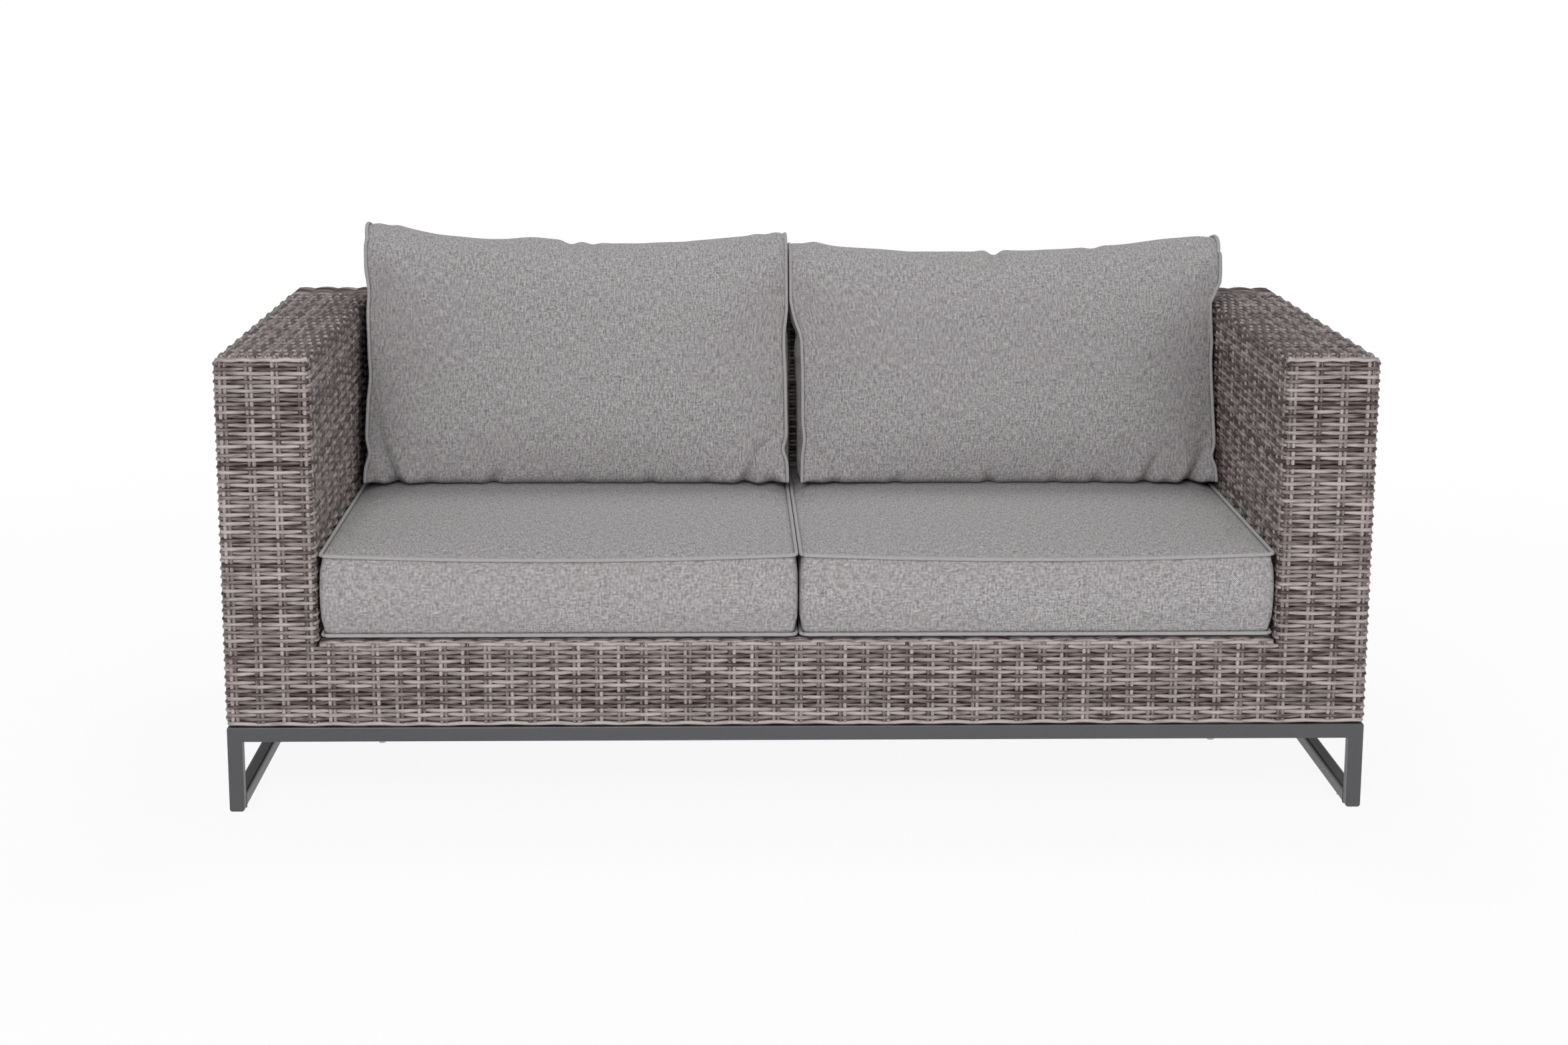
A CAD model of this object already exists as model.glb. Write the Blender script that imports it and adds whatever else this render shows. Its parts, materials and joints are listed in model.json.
"""Weave, cushions and finishes of a two-seat garden sofa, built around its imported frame.

The file is laid out as an add-on and run as a script: main() registers the classes and calls
the operators in order. Metres, +Z up, front towards -Y.
"""

import json
import math

import bmesh
import bpy
import numpy as np
from mathutils import Matrix, Vector


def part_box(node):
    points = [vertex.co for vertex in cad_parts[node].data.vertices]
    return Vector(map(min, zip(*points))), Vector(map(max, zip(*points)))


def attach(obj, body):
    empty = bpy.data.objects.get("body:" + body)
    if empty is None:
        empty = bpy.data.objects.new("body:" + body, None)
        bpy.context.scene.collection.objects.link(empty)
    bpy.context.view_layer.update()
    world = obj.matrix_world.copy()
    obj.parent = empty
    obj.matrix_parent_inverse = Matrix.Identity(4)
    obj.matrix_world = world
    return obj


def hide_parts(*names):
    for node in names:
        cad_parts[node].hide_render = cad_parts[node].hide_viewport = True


bl_info = {
    "name": "Woven Garden Sofa",
    "version": (1, 0, 0),
    "blender": (4, 5, 0),
    "location": "3D View > Sidebar > Sofa",
    "description": "Weave, cushions and finishes of a garden sofa around its packed frame",
    "category": "Object",
}

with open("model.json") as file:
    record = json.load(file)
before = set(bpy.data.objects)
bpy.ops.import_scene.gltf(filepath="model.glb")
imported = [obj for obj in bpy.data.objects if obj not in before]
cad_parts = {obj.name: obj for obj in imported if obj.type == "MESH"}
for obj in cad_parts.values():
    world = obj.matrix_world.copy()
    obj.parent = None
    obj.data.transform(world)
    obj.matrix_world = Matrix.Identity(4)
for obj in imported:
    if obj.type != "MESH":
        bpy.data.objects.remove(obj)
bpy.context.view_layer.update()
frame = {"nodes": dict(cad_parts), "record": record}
NODES = frame["nodes"]

HANDS = (("left", -1), ("right", 1))
IMAGE_WIDTH = 2353
SENSOR_WIDTH = 36.0

# The woven faces, from the frame
ARM_LOW, ARM_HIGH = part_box("woven_arm_right")
BACK_LOW, BACK_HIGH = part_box("woven_back")
APRON_LOW, APRON_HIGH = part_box("woven_apron")
ARM_INNER = ARM_LOW.x
HALF_WIDTH = ARM_HIGH.x
FRONT_FACE = ARM_LOW.y
BACK_FRONT = BACK_LOW.y
REAR_FACE = BACK_HIGH.y
SKIN_FOOT = ARM_LOW.z
ARM_TOP = ARM_HIGH.z
DECK_TOP = APRON_HIGH.z

# Stakes, counted so that over and under carry on round every corner
SIDE_STAKES = 20
ARM_FRONT_STAKES = 4
APRON_STAKES = 43
REAR_STAKES = 47
BACK_SIDE_STAKES = 3
ARM_FRONT_MARGIN = 0.014

# The share of a tube's side that a weld bead cuts off at a corner, and its points along the rest
WELD_CORNER_SHARE = 0.06
WELD_POINTS = 9

# Rows of weft, and how finely each is drawn
WALL_ROWS = 86
BAND_ROWS = 19
ARM_TOP_ROWS = 20
BACK_TOP_ROWS = 13
FLANGE_ROWS = 4
FIRST_ROW_LIFT = 0.003
ROW_SAMPLES = 4
CLOSEST_SAMPLES = 0.0018
SWING_SHARPNESS = 0.7
ROW_WAVER = 0.0005
FOOT_WAVER = 0.0012
BORDER_WAVER = 0.0007
BORDER_POINTS = 26
BEND_STEPS = 3
PATH_STEPS = 4000
RING_SIDES = 6
PIPING_SIDES = 8
SEAT_SIDE_GAP = 0.002
DECK_PITCH = 0.030

# How the rows over the back's top end: one step on, and further in than a swing
TUCK_STEP = 0.004
TUCKED = -1.5

# Where on its grain a strand may start, and how far the grains of two strands lie apart
GRAIN_LENGTH = 3
GRAIN_STEP = 0.13

# Tones of strands, from 0 for the darkest to 1 for the palest
SPARE_TONES = 60
BACK_TOP_TONES = 30
LIGHT_SHARE = 0.56
LIGHT_ROW = 0.72
DARK_ROW = 0.19
ROW_SPREAD = 0.1
STAKE_TONES = (0.70, 0.26)
STAKE_SPREAD = 0.07
STAKE_LEAN = 0.0006
FOOT_TONE = 0.95
SILL_TONE = 0.85
BORDER_TONE = 0.9
LAST_ROW_TONE = 1.0
DECK_TONES = (0.3, 0.5)
TOP_SHADE = 0.34
SEAT_SIDE_SHADE = 0.14

LINING_DEPTH = 0.0078
LINING_THICKNESS = 0.0008
ZIP_CHANNEL_DEPTH = 0.006
ZIP_CHANNEL_SLOPE = 0.014

# The sides of a box, and the way out of each
SIDES = {
    "-x": Vector((-1, 0, 0)), "+x": Vector((1, 0, 0)),
    "-y": Vector((0, -1, 0)), "+y": Vector((0, 1, 0)),
    "-z": Vector((0, 0, -1)), "+z": Vector((0, 0, 1)),
}


class WeaveSettings(bpy.types.PropertyGroup):
    strand: bpy.props.FloatProperty(
        name="Strand", description="Diameter of a strand", default=0.0064, unit="LENGTH")
    over: bpy.props.FloatProperty(
        name="Weft swing", description="How far a weft swings out and in", default=0.0023, unit="LENGTH")
    stake_over: bpy.props.FloatProperty(
        name="Stake swing", description="How far a stake swings out and in", default=0.0006, unit="LENGTH")
    pair: bpy.props.FloatProperty(
        name="Pair spacing", description="Between the two stakes of a pair", default=0.0069, unit="LENGTH")
    edge: bpy.props.FloatProperty(
        name="Edge radius", description="Rounding of the woven edges", default=0.010, unit="LENGTH")
    proud: bpy.props.FloatProperty(
        name="Proud", description="How far the weave stands out of the solid's outer faces",
        default=0.002, unit="LENGTH")
    light: bpy.props.FloatVectorProperty(
        name="Light strand", description="Palest colour of a strand", default=(0.490, 0.428, 0.412),
        subtype="COLOR")
    dark: bpy.props.FloatVectorProperty(
        name="Dark strand", description="Deepest colour of a strand", default=(0.058, 0.034, 0.033),
        subtype="COLOR")


class CushionSettings(bpy.types.PropertyGroup):
    piping: bpy.props.FloatProperty(
        name="Piping", description="Radius of the piping", default=0.0029, unit="LENGTH")
    weave_pitch: bpy.props.FloatProperty(
        name="Cloth pitch", description="Repeat of the cloth's weave", default=0.0029, unit="LENGTH")
    light: bpy.props.FloatVectorProperty(
        name="Light yarn", description="Palest yarn of the cloth", default=(0.585, 0.56, 0.565),
        subtype="COLOR")
    dark: bpy.props.FloatVectorProperty(
        name="Dark yarn", description="Deepest yarn of the cloth", default=(0.135, 0.128, 0.130),
        subtype="COLOR")


class MetalSettings(bpy.types.PropertyGroup):
    coat: bpy.props.FloatVectorProperty(
        name="Powder coat", description="Colour of the base", default=(0.074, 0.075, 0.080),
        subtype="COLOR")
    weld: bpy.props.FloatProperty(
        name="Weld", description="Radius of a weld bead", default=0.0008, unit="LENGTH")


class StageSettings(bpy.types.PropertyGroup):
    camera: bpy.props.FloatVectorProperty(
        name="Camera", description="Place of the camera", default=(-0.1287, -4.4021, 1.2778),
        subtype="TRANSLATION", unit="LENGTH")
    yaw: bpy.props.FloatProperty(
        name="Yaw", description="Turn of the camera to the right", default=math.radians(1.528),
        subtype="ANGLE")
    pitch: bpy.props.FloatProperty(
        name="Pitch", description="Tilt of the camera downwards", default=math.radians(11.841),
        subtype="ANGLE")
    roll: bpy.props.FloatProperty(
        name="Roll", description="Roll of the camera", default=math.radians(0.21), subtype="ANGLE")
    focal_pixels: bpy.props.FloatProperty(
        name="Focal length", description="Focal length in pixels of the whole picture", default=4158.2)
    floor: bpy.props.FloatVectorProperty(
        name="Floor", description="Colour of the floor", default=(0.92, 0.92, 0.92), subtype="COLOR")


# Materials

class Finish:
    """A Principled material whose nodes are added one call at a time."""

    def __init__(self, name, **sockets):
        self.material = bpy.data.materials.new(name)
        self.material.use_nodes = True
        self.tree = self.material.node_tree
        self.shader = self.tree.nodes["Principled BSDF"]
        for socket, value in sockets.items():
            self.shader.inputs[socket.replace("_", " ")].default_value = value

    def node(self, kind, inputs=None, **settings):
        """Adds a shader node, with a value or a link for each input."""
        node = self.tree.nodes.new("ShaderNode" + kind)
        for name, value in settings.items():
            setattr(node, name, value)
        for socket, value in (inputs or {}).items():
            if isinstance(value, bpy.types.NodeSocket):
                self.tree.links.new(value, node.inputs[socket])
            else:
                node.inputs[socket].default_value = value
        return node

    def math(self, operation, a, b=0.0, clamp=False):
        return self.node("Math", {0: a, 1: b}, operation=operation, use_clamp=clamp).outputs[0]

    def stretch(self, vector, scale):
        """Coordinates stretched by a scale for each axis."""
        return self.node("Mapping", {"Vector": vector, "Scale": scale}).outputs[0]

    def place(self, scale):
        """Object coordinates stretched by a scale for each axis."""
        return self.stretch(self.node("TexCoord").outputs["Object"], scale)

    def noise(self, vector, scale=1.0, detail=2.0):
        inputs = {"Vector": vector, "Scale": scale, "Detail": detail}
        return self.node("TexNoise", inputs).outputs["Fac"]

    def spread(self, value, low, high):
        """A value about 0.5, as noise gives, spread to lie between low and high."""
        inputs = {"Value": value, "From Min": 0.25, "From Max": 0.75, "To Min": low, "To Max": high}
        return self.node("MapRange", inputs).outputs[0]

    def blend(self, factor, a, b):
        """A colour between two others."""
        node = self.node("Mix", {"Factor": factor}, data_type="RGBA")
        sockets = [s for s in node.inputs if s.type == "RGBA"]
        sockets[0].default_value = (*a, 1)
        sockets[1].default_value = (*b, 1)
        return [s for s in node.outputs if s.type == "RGBA"][0]

    def bump(self, height, strength, distance):
        inputs = {"Height": height, "Strength": strength, "Distance": distance}
        self.into("Normal", self.node("Bump", inputs).outputs[0])

    def into(self, socket, value):
        """Links a value to a socket of the shader."""
        self.tree.links.new(value, self.shader.inputs[socket])


def strand_finish(weave):
    """Extruded strand with streaks that run along it, light or dark by its tone."""
    finish = Finish("strand", Specular_IOR_Level=0.55)
    tone = finish.node("Attribute", attribute_name="tone").outputs["Fac"]
    grain = finish.node("Attribute", attribute_name="grain").outputs["Vector"]
    streaks = finish.noise(finish.stretch(grain, (55, 900, 900)))
    patches = finish.noise(finish.stretch(grain, (24, 60, 60)))
    shade = finish.math("ADD", tone, finish.spread(streaks, -0.34, 0.34))
    shade = finish.math("ADD", shade, finish.spread(patches, -0.42, 0.42), clamp=True)
    finish.into("Base Color", finish.blend(shade, weave.dark, weave.light))
    finish.into("Roughness", finish.spread(streaks, 0.26, 0.44))
    finish.bump(streaks, 0.35, 0.0005)
    return finish.material


def cloth_finish(cushion, name, upright, level):
    """Outdoor cloth of light and dark yarns in staggered dots, with slubs both ways."""
    finish = Finish(
        name, Roughness=0.92, Specular_IOR_Level=0.25, Sheen_Weight=0.12, Sheen_Roughness=0.5)
    chart = finish.node("UVMap", uv_map="cloth").outputs[0]
    parts = finish.node("SeparateXYZ", {"Vector": chart})
    turns = 2 * math.pi / cushion.weave_pitch
    waves = [finish.math("SINE", finish.math("MULTIPLY", parts.outputs[i], turns)) for i in (0, 1)]
    dots = finish.math("MULTIPLY", waves[0], waves[1])
    along = finish.spread(finish.noise(finish.stretch(chart, (430, 80, 1))), -upright, upright)
    across = finish.spread(finish.noise(finish.stretch(chart, (80, 430, 1))), -level, level)
    yarn = finish.math("ADD", along, across)
    fleck = finish.math("ADD", finish.spread(finish.noise(chart, 640.0, 1.0), -0.2, 0.2),
                        finish.spread(finish.noise(chart, 300.0, 1.0), -0.28, 0.28))
    shade = finish.math("ADD", finish.math("MULTIPLY", dots, 0.42), finish.math("ADD", yarn, fleck))
    shade = finish.math("ADD", shade, 0.5, clamp=True)
    finish.into("Base Color", finish.blend(shade, cushion.dark, cushion.light))
    finish.bump(dots, 0.35, 0.0005)
    return finish.material


def piping_finish(cushion):
    """Cloth wrapped on the bias round a cord, so that its dots run as a twist."""
    finish = Finish("piping", Roughness=0.9, Specular_IOR_Level=0.25, Sheen_Weight=0.12)
    grain = finish.node("Attribute", attribute_name="grain").outputs["Vector"]
    parts = finish.node("SeparateXYZ", {"Vector": grain})
    turns = 2 * math.pi / cushion.weave_pitch
    slant = finish.math("ADD", parts.outputs[0], finish.math("ADD", parts.outputs[1], parts.outputs[2]))
    dots = finish.math("SINE", finish.math("MULTIPLY", slant, turns))
    fleck = finish.spread(finish.noise(grain, 500.0), -0.2, 0.2)
    shade = finish.math("ADD", finish.math("MULTIPLY", dots, 0.32), fleck)
    shade = finish.math("ADD", shade, 0.60, clamp=True)
    finish.into("Base Color", finish.blend(shade, cushion.dark, cushion.light))
    finish.bump(dots, 0.3, 0.0004)
    return finish.material


def speckled_finish(name, low, high, scale, roughness, bump=0.0002):
    """A finish whose colour and gloss vary finely, such as powder coat, plastic or tape."""
    finish = Finish(name)
    grain = finish.noise(finish.place((scale, scale, scale)), detail=3.0)
    cloud = finish.noise(finish.place((9, 9, 9)))
    mixed = finish.math("ADD", finish.spread(grain, 0, 0.7), finish.spread(cloud, 0, 0.3))
    finish.into("Base Color", finish.blend(mixed, low, high))
    finish.into("Roughness", finish.spread(grain, roughness - 0.07, roughness + 0.07))
    finish.bump(grain, 0.3, bump)
    return finish.material


def brushed_finish(name, low, high, scale, roughness):
    """Bare metal with a fine grain."""
    finish = Finish(name, Metallic=1.0)
    grain = finish.noise(finish.place((scale, scale, scale)), detail=3.0)
    finish.into("Base Color", finish.blend(finish.spread(grain, 0, 1), low, high))
    finish.into("Roughness", finish.spread(grain, roughness - 0.1, roughness + 0.1))
    finish.bump(grain, 0.15, 0.0002)
    return finish.material


def shades(colour, change=0.12):
    """A colour a little darker and a little lighter."""
    return [tuple(c * (1 + step) for c in colour) for step in (-change, change)]


def dress(names, material):
    """Gives CAD nodes a material in place of their plain one."""
    for name in names:
        materials = NODES[name].data.materials
        materials.clear()
        materials.append(material)


# Strands

class Strands:
    """Round strands that become one mesh, with a tone and a grain on each."""

    def __init__(self, seed):
        self.paths = []
        self.random = np.random.default_rng(seed)

    def add(self, points, tone):
        """Adds a strand along points, with one tone or a tone at each point."""
        self.paths.append((np.asarray(points, float), tone))

    def build(self, name, radius, material, body, slot, sides=RING_SIDES):
        """Makes one piece of all the strands."""
        curve = bpy.data.curves.new(name, "CURVE")
        curve.dimensions = "3D"
        curve.bevel_depth = radius
        curve.bevel_resolution = sides // 2 - 2
        for points, _ in self.paths:
            spline = curve.splines.new("POLY")
            spline.points.add(len(points) - 1)
            spline.points.foreach_set("co", np.column_stack([points, np.ones(len(points))]).ravel())
        holder = bpy.data.objects.new(name, curve)
        bpy.context.scene.collection.objects.link(holder)
        depsgraph = bpy.context.evaluated_depsgraph_get()
        mesh = bpy.data.meshes.new_from_object(holder.evaluated_get(depsgraph))
        bpy.data.objects.remove(holder)
        bpy.data.curves.remove(curve)
        self.mark(mesh, radius, sides)
        close_ends(mesh)
        mesh.shade_smooth()
        mesh.materials.clear()
        mesh.materials.append(material)
        return add_piece(name, mesh, body)

    def mark(self, mesh, radius, sides):
        """Writes each strand's tone, and a grain that runs along it and round it."""
        angles = 2 * np.pi * np.arange(sides) / sides
        tones = []
        grains = []
        for number, (points, tone) in enumerate(self.paths):
            steps = np.linalg.norm(np.diff(points, axis=0), axis=1)
            run = np.concatenate([[0.0], np.cumsum(steps)])
            start = self.random.random() * GRAIN_LENGTH
            ring = np.column_stack([np.cos(angles), np.sin(angles)]) * radius
            around = np.tile(ring, (len(points), 1)) + number * GRAIN_STEP
            grains.append(np.column_stack([np.repeat(run + start, sides), around]))
            tones.append(np.repeat(np.broadcast_to(tone, len(points)), sides))
        tone = mesh.attributes.new("tone", "FLOAT", "POINT")
        tone.data.foreach_set("value", np.concatenate(tones).astype(np.float32))
        grain = mesh.attributes.new("grain", "FLOAT_VECTOR", "POINT")
        grain.data.foreach_set("vector", np.concatenate(grains).astype(np.float32).ravel())


def close_ends(mesh):
    """Fills the open ends of tubes."""
    tubes = bmesh.new()
    tubes.from_mesh(mesh)
    bmesh.ops.holes_fill(tubes, edges=[e for e in tubes.edges if e.is_boundary], sides=0)
    bmesh.ops.recalc_face_normals(tubes, faces=tubes.faces)
    tubes.to_mesh(mesh)
    tubes.free()


def add_piece(name, mesh, body):
    """Adds a mesh as a piece that rides on a body."""
    mesh.name = name
    piece = bpy.data.objects.new(name, mesh)
    bpy.context.scene.collection.objects.link(piece)
    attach(piece, body)
    return piece


def weld_beads(settings, material):
    """Thin beads round the joints of the runners and the stretcher with the leg frames."""
    beads = Strands(60)
    for name in ("base_runner_left", "base_runner_right", "base_stretcher"):
        low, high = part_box(name)
        for y in (low.y, high.y):
            loop = [(low.x, low.z), (high.x, low.z), (high.x, high.z), (low.x, high.z)]
            points = []
            for (x0, z0), (x1, z1) in zip(loop, loop[1:] + loop[:1]):
                for share in np.linspace(WELD_CORNER_SHARE, 1 - WELD_CORNER_SHARE, WELD_POINTS):
                    points.append((x0 + (x1 - x0) * share, y, z0 + (z1 - z0) * share))
            beads.add(points + points[:1], 0.5)
    beads.build("base_welds", settings.weld, material, "sofa", "base_metal")


# Weave

class PlanPath:
    """A line round the outer face, seen from above, its corners rounded.

    The line runs with the outside on its right, so each point's normal points outwards.
    """

    def __init__(self, corners, radius):
        corners = [np.array(corner, float) for corner in corners]
        points = [corners[0]]
        headings = [(b - a) / np.linalg.norm(b - a) for a, b in zip(corners, corners[1:])]
        normals = [self.outward(headings[0])]
        bends = []
        for corner, heading in zip(corners[1:-1], headings):
            centre = corner - heading * radius - self.outward(heading) * radius
            for angle in np.linspace(0, np.pi / 2, 2 * BEND_STEPS + 1):
                normal = self.outward(heading) * math.cos(angle) + heading * math.sin(angle)
                points.append(centre + normal * radius)
                normals.append(normal)
            bends.append(len(points) - 1 - np.arange(0, 2 * BEND_STEPS + 1, 2))
        points.append(corners[-1])
        normals.append(self.outward(headings[-1]))
        self.points = np.array(points)
        self.normals = np.array(normals)
        steps = np.linalg.norm(np.diff(self.points, axis=0), axis=1)
        self.runs = np.concatenate([[0.0], np.cumsum(steps)])
        self.length = self.runs[-1]
        # The way that the face towards the cushions looks, where there is one
        self.flush = np.zeros(2)
        self.bends = self.runs[np.concatenate(bends)] if bends else np.array([])

    @staticmethod
    def outward(heading):
        """The way to the right of a heading."""
        return np.array([heading[1], -heading[0]])

    def at(self, runs):
        """Places and normals at distances along the path."""
        columns = [np.interp(runs, self.runs, column) for column in (*self.points.T, *self.normals.T)]
        normals = np.column_stack(columns[2:])
        return np.column_stack(columns[:2]), normals / np.linalg.norm(normals, axis=1)[:, None]

    def freedom(self, normals):
        """1 where the face may stand proud, and 0 where it faces the cushions."""
        return 1 - np.clip(normals @ self.flush, 0, 1)

    def run_of(self, point):
        """How far along the path lies the place nearest to a point."""
        fine = np.linspace(0, self.length, int(self.length * PATH_STEPS))
        places, _ = self.at(fine)
        return fine[np.argmin(np.linalg.norm(places - np.array(point), axis=1))]


def spaced(low, high, count):
    """The middles of count equal steps between two places."""
    step = (high - low) / count
    return [low + step * (i + 0.5) for i in range(count)]


def swings(stakes, length, bends=()):
    """Places of a weft's points, and how far out it is there.

    It is 1 over the first stake, -1 under the next, and so on.
    """
    stakes = np.array(stakes)
    first = 2 * stakes[0] - stakes[1]
    last = 2 * stakes[-1] - stakes[-2]
    knots = np.concatenate([[first], stakes, [last]])
    parts = [np.linspace(a, b, ROW_SAMPLES, endpoint=False) for a, b in zip(knots, knots[1:])]
    runs = np.concatenate([*parts, bends, [0, length]])
    runs = np.unique(runs[(runs >= 0) & (runs <= length)])
    apart = np.concatenate([[True], np.diff(runs) > CLOSEST_SAMPLES])
    apart[-1] = True
    runs = runs[apart]
    phase = np.interp(runs, knots, np.arange(-1, len(stakes) + 1))
    wave = np.cos(np.pi * phase)
    return runs, np.sign(wave) * np.abs(wave) ** SWING_SHARPNESS


class Weave:
    """Rows, tones and depths that all the woven faces share."""

    def __init__(self, settings):
        self.settings = settings
        self.radius = settings.strand / 2
        self.depth = settings.over + self.radius
        self.edge = settings.edge
        last = ARM_TOP - settings.edge
        self.levels = np.linspace(SKIN_FOOT + FIRST_ROW_LIFT, last, WALL_ROWS)
        random = np.random.default_rng(7)
        light = random.random(WALL_ROWS + SPARE_TONES) < LIGHT_SHARE
        for row in range(2, light.size):
            if light[row - 2] == light[row - 1]:
                light[row] = not light[row - 1]
        self.tones = np.where(light, LIGHT_ROW, DARK_ROW) + random.normal(0, ROW_SPREAD, light.size)
        self.tones[0] = FOOT_TONE
        self.finish = strand_finish(settings)

    def wall(self, strands, path, stakes, first, rows):
        """Wefts along a wall. first is the number of the first stake on the path."""
        runs, out = swings([path.run_of(stake) for stake in stakes], path.length, path.bends)
        places, normals = path.at(runs)
        for row in rows:
            sign = 1 if (row + first) % 2 == 0 else -1
            offset = sign * self.settings.over * out - self.depth
            offset = offset + self.settings.proud * path.freedom(normals)
            waver = ROW_WAVER * np.sin(runs * 23 + row * 0.6) * np.sin(runs * 7 + row * 0.23)
            if row == 0:
                waver = waver + FOOT_WAVER * (out * sign - 1)
            level = np.full(len(runs), self.levels[row]) + waver
            tone = self.tones[row] - SEAT_SIDE_SHADE * (1 - path.freedom(normals))
            strands.add(np.column_stack([places + normals * offset[:, None], level]), tone)

    def over_edge(self, span, top, count, angles=(45,)):
        """Places and normals of the rows that run over a top of a given span.

        Each is (across, up, normal across, normal up), measured from the first wall's face.
        """
        rows = []
        for angle in angles:
            bend = math.radians(angle)
            across = self.edge * (1 - math.cos(bend))
            up = top - self.edge * (1 - math.sin(bend))
            rows.append((across, up, -math.cos(bend), math.sin(bend)))
        far = [(span - across, up, -n_across, n_up) for across, up, n_across, n_up in reversed(rows)]
        flat = [(across, top, 0.0, 1.0) for across in np.linspace(self.edge, span - self.edge, count)]
        return rows + flat + far

    def stand_out(self, n_across, n_up, under_cushion=False):
        """How far out of the solid a row or stake stands, from its normal."""
        if under_cushion:
            return self.settings.proud * (1 - n_up)
        return self.settings.proud * (1 - max(n_across, 0))

    def up_wall(self, across, facing, rows):
        """Places and normals of the rows of a wall, as over_edge gives them."""
        return [(across, self.levels[row], facing, 0.0) for row in rows]

    def stake_pair(self, strands, section, number, put, under_cushion=False):
        """A pair of stakes that follows a section. put(place, shift) gives a point of it."""
        tones = STAKE_TONES
        if strands.random.random() < 0.5:
            tones = tones[::-1]
        lean = strands.random.normal(0, STAKE_LEAN)
        for side, tone in zip((-0.5, 0.5), tones):
            shift = side * self.settings.pair
            points = []
            for index, (across, up, n_across, n_up) in enumerate(section):
                sign = -1 if (index + number) % 2 == 0 else 1
                offset = sign * self.settings.stake_over - self.depth
                offset += self.stand_out(n_across, n_up, under_cushion)
                drift = lean * math.sin(up * 9 + number)
                points.append(put(across + n_across * offset, up + n_up * offset, shift + drift))
            strands.add(points, tone + strands.random.normal(0, STAKE_SPREAD))

    def build(self, strands, name, *nodes):
        """Makes a woven piece, in place of the given nodes."""
        piece = strands.build(name, self.radius, self.finish, "sofa", "woven_strand")
        if nodes:
            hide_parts(*nodes)
        return piece


def block_between(size, middle):
    """A plain block of a given size."""
    block = bmesh.new()
    bmesh.ops.create_cube(block, size=1)
    bmesh.ops.scale(block, vec=size, verts=block.verts)
    bmesh.ops.translate(block, vec=middle, verts=block.verts)
    return block


def add_lining(name, faces):
    """Makes a dark piece of the sofa out of a bmesh."""
    mesh = bpy.data.meshes.new(name)
    faces.to_mesh(mesh)
    faces.free()
    mesh.materials.append(bpy.data.materials["lining"])
    add_piece(name, mesh, "sofa")


def line_skin(name, low, high, open_sides):
    """A dark lining behind a woven skin: a thin shell, open on the given sides."""
    insets = {side: 0 if side in open_sides else LINING_DEPTH for side in SIDES}
    low = low + Vector([insets[side] for side in ("-x", "-y", "-z")])
    high = high - Vector([insets[side] for side in ("+x", "+y", "+z")])
    shell = block_between(high - low, (low + high) / 2)
    shell.normal_update()
    gone = [f for f in shell.faces if any(f.normal.dot(SIDES[side]) > 0.9 for side in open_sides)]
    bmesh.ops.delete(shell, geom=gone, context="FACES")
    inner = [e for e in shell.edges if not e.is_boundary]
    bmesh.ops.bevel(shell, geom=inner, offset=LINING_DEPTH, segments=3, profile=0.5,
                    affect="EDGES", material=-1)
    bmesh.ops.solidify(shell, geom=shell.faces, thickness=LINING_THICKNESS)
    bmesh.ops.recalc_face_normals(shell, faces=shell.faces)
    add_lining(name, shell)


def line_deck():
    """A dark sheet in the middle of the deck's thickness."""
    low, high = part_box("woven_deck")
    size = Vector((high.x - low.x, high.y - low.y, LINING_THICKNESS))
    sheet = block_between(size, (low + high) / 2)
    bmesh.ops.bevel(sheet, geom=sheet.edges, offset=LINING_THICKNESS / 4, segments=1, profile=0.5,
                    affect="EDGES", material=-1)
    add_lining("deck_lining", sheet)


def side_stakes():
    """Y places of the stakes on an arm's side, from the front."""
    return spaced(FRONT_FACE, BACK_FRONT, SIDE_STAKES)


def arm_front_stakes():
    """Distances from the sofa's side of the stakes on an arm's front."""
    width = HALF_WIDTH - ARM_INNER
    return np.linspace(ARM_FRONT_MARGIN, width - ARM_FRONT_MARGIN, ARM_FRONT_STAKES)


def arm_path(side, weave):
    """From the back along the side, across the arm's front and back along the seat side."""
    corners = [
        (-HALF_WIDTH, BACK_FRONT), (-HALF_WIDTH, FRONT_FACE),
        (-ARM_INNER, FRONT_FACE), (-ARM_INNER, BACK_FRONT),
    ]
    path = PlanPath(corners, weave.edge)
    stakes = [(-HALF_WIDTH, y) for y in reversed(side_stakes())]
    stakes += [(x - HALF_WIDTH, FRONT_FACE) for x in arm_front_stakes()]
    stakes += [(-ARM_INNER, y) for y in side_stakes()]
    if side > 0:
        path.points[:, 0] *= -1
        path.normals[:, 0] *= -1
        stakes = [(-x, y) for x, y in stakes]
    path.flush = np.array([-side, 0.0])
    return path, stakes


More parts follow.
